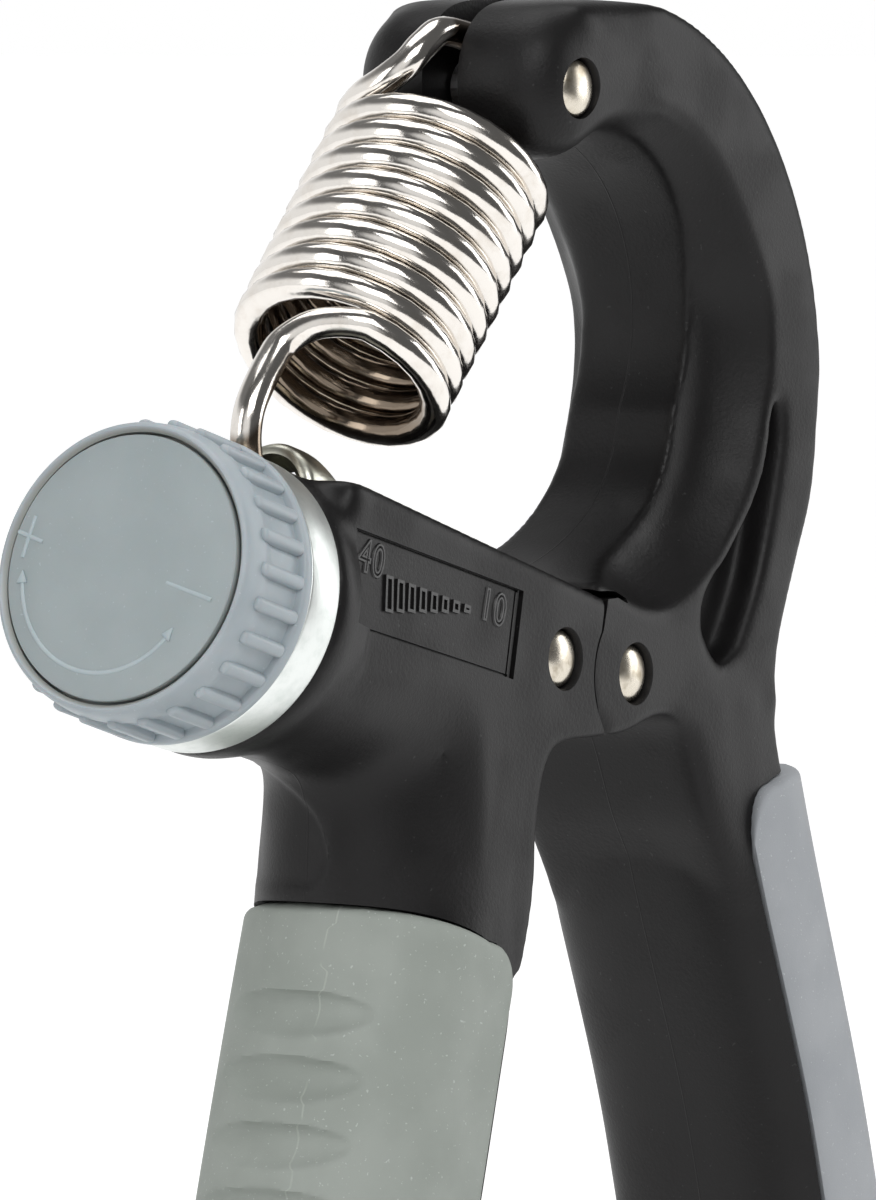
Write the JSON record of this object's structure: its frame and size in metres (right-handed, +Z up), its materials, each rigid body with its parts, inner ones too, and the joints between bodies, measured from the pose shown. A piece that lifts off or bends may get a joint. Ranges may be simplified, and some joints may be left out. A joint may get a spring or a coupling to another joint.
{
  "type": "hand gripper",
  "caption": "Adjustable hand gripper: hinged moulded handles with rubber grips, a coil spring from a C-shaped arm, and a knob that moves the spring's nut along a scale.",
  "frame": {"origin": "on the ground under the middle of the bounding box, between the feet of the handles", "axes": "+Z up, handles down; +X from the knob towards the C-shaped arm; -Y is the face with the scale"},
  "size_m": [0.1282, 0.028, 0.155],
  "materials": {
    "black_nylon": "satin black with a fine grain",
    "arm_rubber": "blue-grey, matt",
    "lever_rubber": "green-grey, matt",
    "knob_plastic": "blue-grey, satin",
    "zinc": "zinc plated, satin",
    "nickel": "nickel plated, polished",
    "plain_steel": "bare steel",
    "brass": "plain brass",
    "oiled_nylon": "natural nylon"
  },
  "bodies": {
    "arm": {"arm_handle": "black_nylon", "arm_grip": "arm_rubber", "hinge_pin": "nickel", "hinge_bush": "brass"},
    "lever": {"lever_handle": "black_nylon", "lever_grip": "lever_rubber", "link_plate_front": "plain_steel", "link_plate_rear": "plain_steel", "link_pin": "nickel", "link_bush": "plain_steel", "collar_ring": "zinc", "nose_bush": "oiled_nylon", "thrust_washer": "brass", "tail_bush": "oiled_nylon"},
    "knob": {"knob": "knob_plastic", "knob_disc": "knob_plastic", "knob_nut": "zinc", "knob_insert": "brass", "adjuster_screw": "plain_steel", "screw_clip": "plain_steel"},
    "nut": {"travelling_nut": "zinc"},
    "anchor_pin": {"anchor_pin": "nickel"},
    "anchor_bush": {"anchor_bush": "plain_steel"},
    "spring": {"spring": "nickel"}
  },
  "joints": [
    {"name": "squeeze", "type": "hinge", "parent": "arm", "child": "lever", "pos_m": [0.00498, 0, 0.09404], "axis": [0, -1, 0], "range_deg": [0, 34], "stiffness_Nm_per_rad": 12, "springref_deg": -11.46},
    {"name": "knob_turn", "type": "hinge", "parent": "lever", "child": "knob", "pos_m": [-0.05994, 0, 0.1059], "axis": [0.965, 0, -0.2622], "range_deg": [-3600, 0]},
    {"name": "nut_travel", "type": "slide", "parent": "lever", "child": "nut", "axis": [0.965, 0, -0.2622], "range_m": [0, 0.01501]},
    {"name": "anchor_swing", "type": "hinge", "parent": "arm", "child": "anchor_pin", "pos_m": [-0.00394, 0, 0.147], "axis": [0, -1, 0], "range_deg": [0, 17.5]},
    {"name": "hook_swing", "type": "hinge", "parent": "anchor_pin", "child": "anchor_bush", "pos_m": [-0.00394, 0, 0.147], "axis": [0, -1, 0], "range_deg": [0, 13]},
    {"name": "spring_stretch", "type": "slide", "parent": "anchor_bush", "child": "spring", "axis": [-0.6721, 0, -0.7405], "range_m": [0, 0.02271], "deforming": ["spring"]}
  ],
  "couplings": [
    {"joint": "nut_travel", "follows": "knob_turn", "m_per_rad": -0.00023873},
    {"joint": "anchor_swing", "follows": "knob_turn", "ratio": -0.0048585},
    {"joint": "hook_swing", "follows": "squeeze", "ratio": 0.38194},
    {"joint": "spring_stretch", "follows": "squeeze", "m_per_rad": 0.038256}
  ]
}
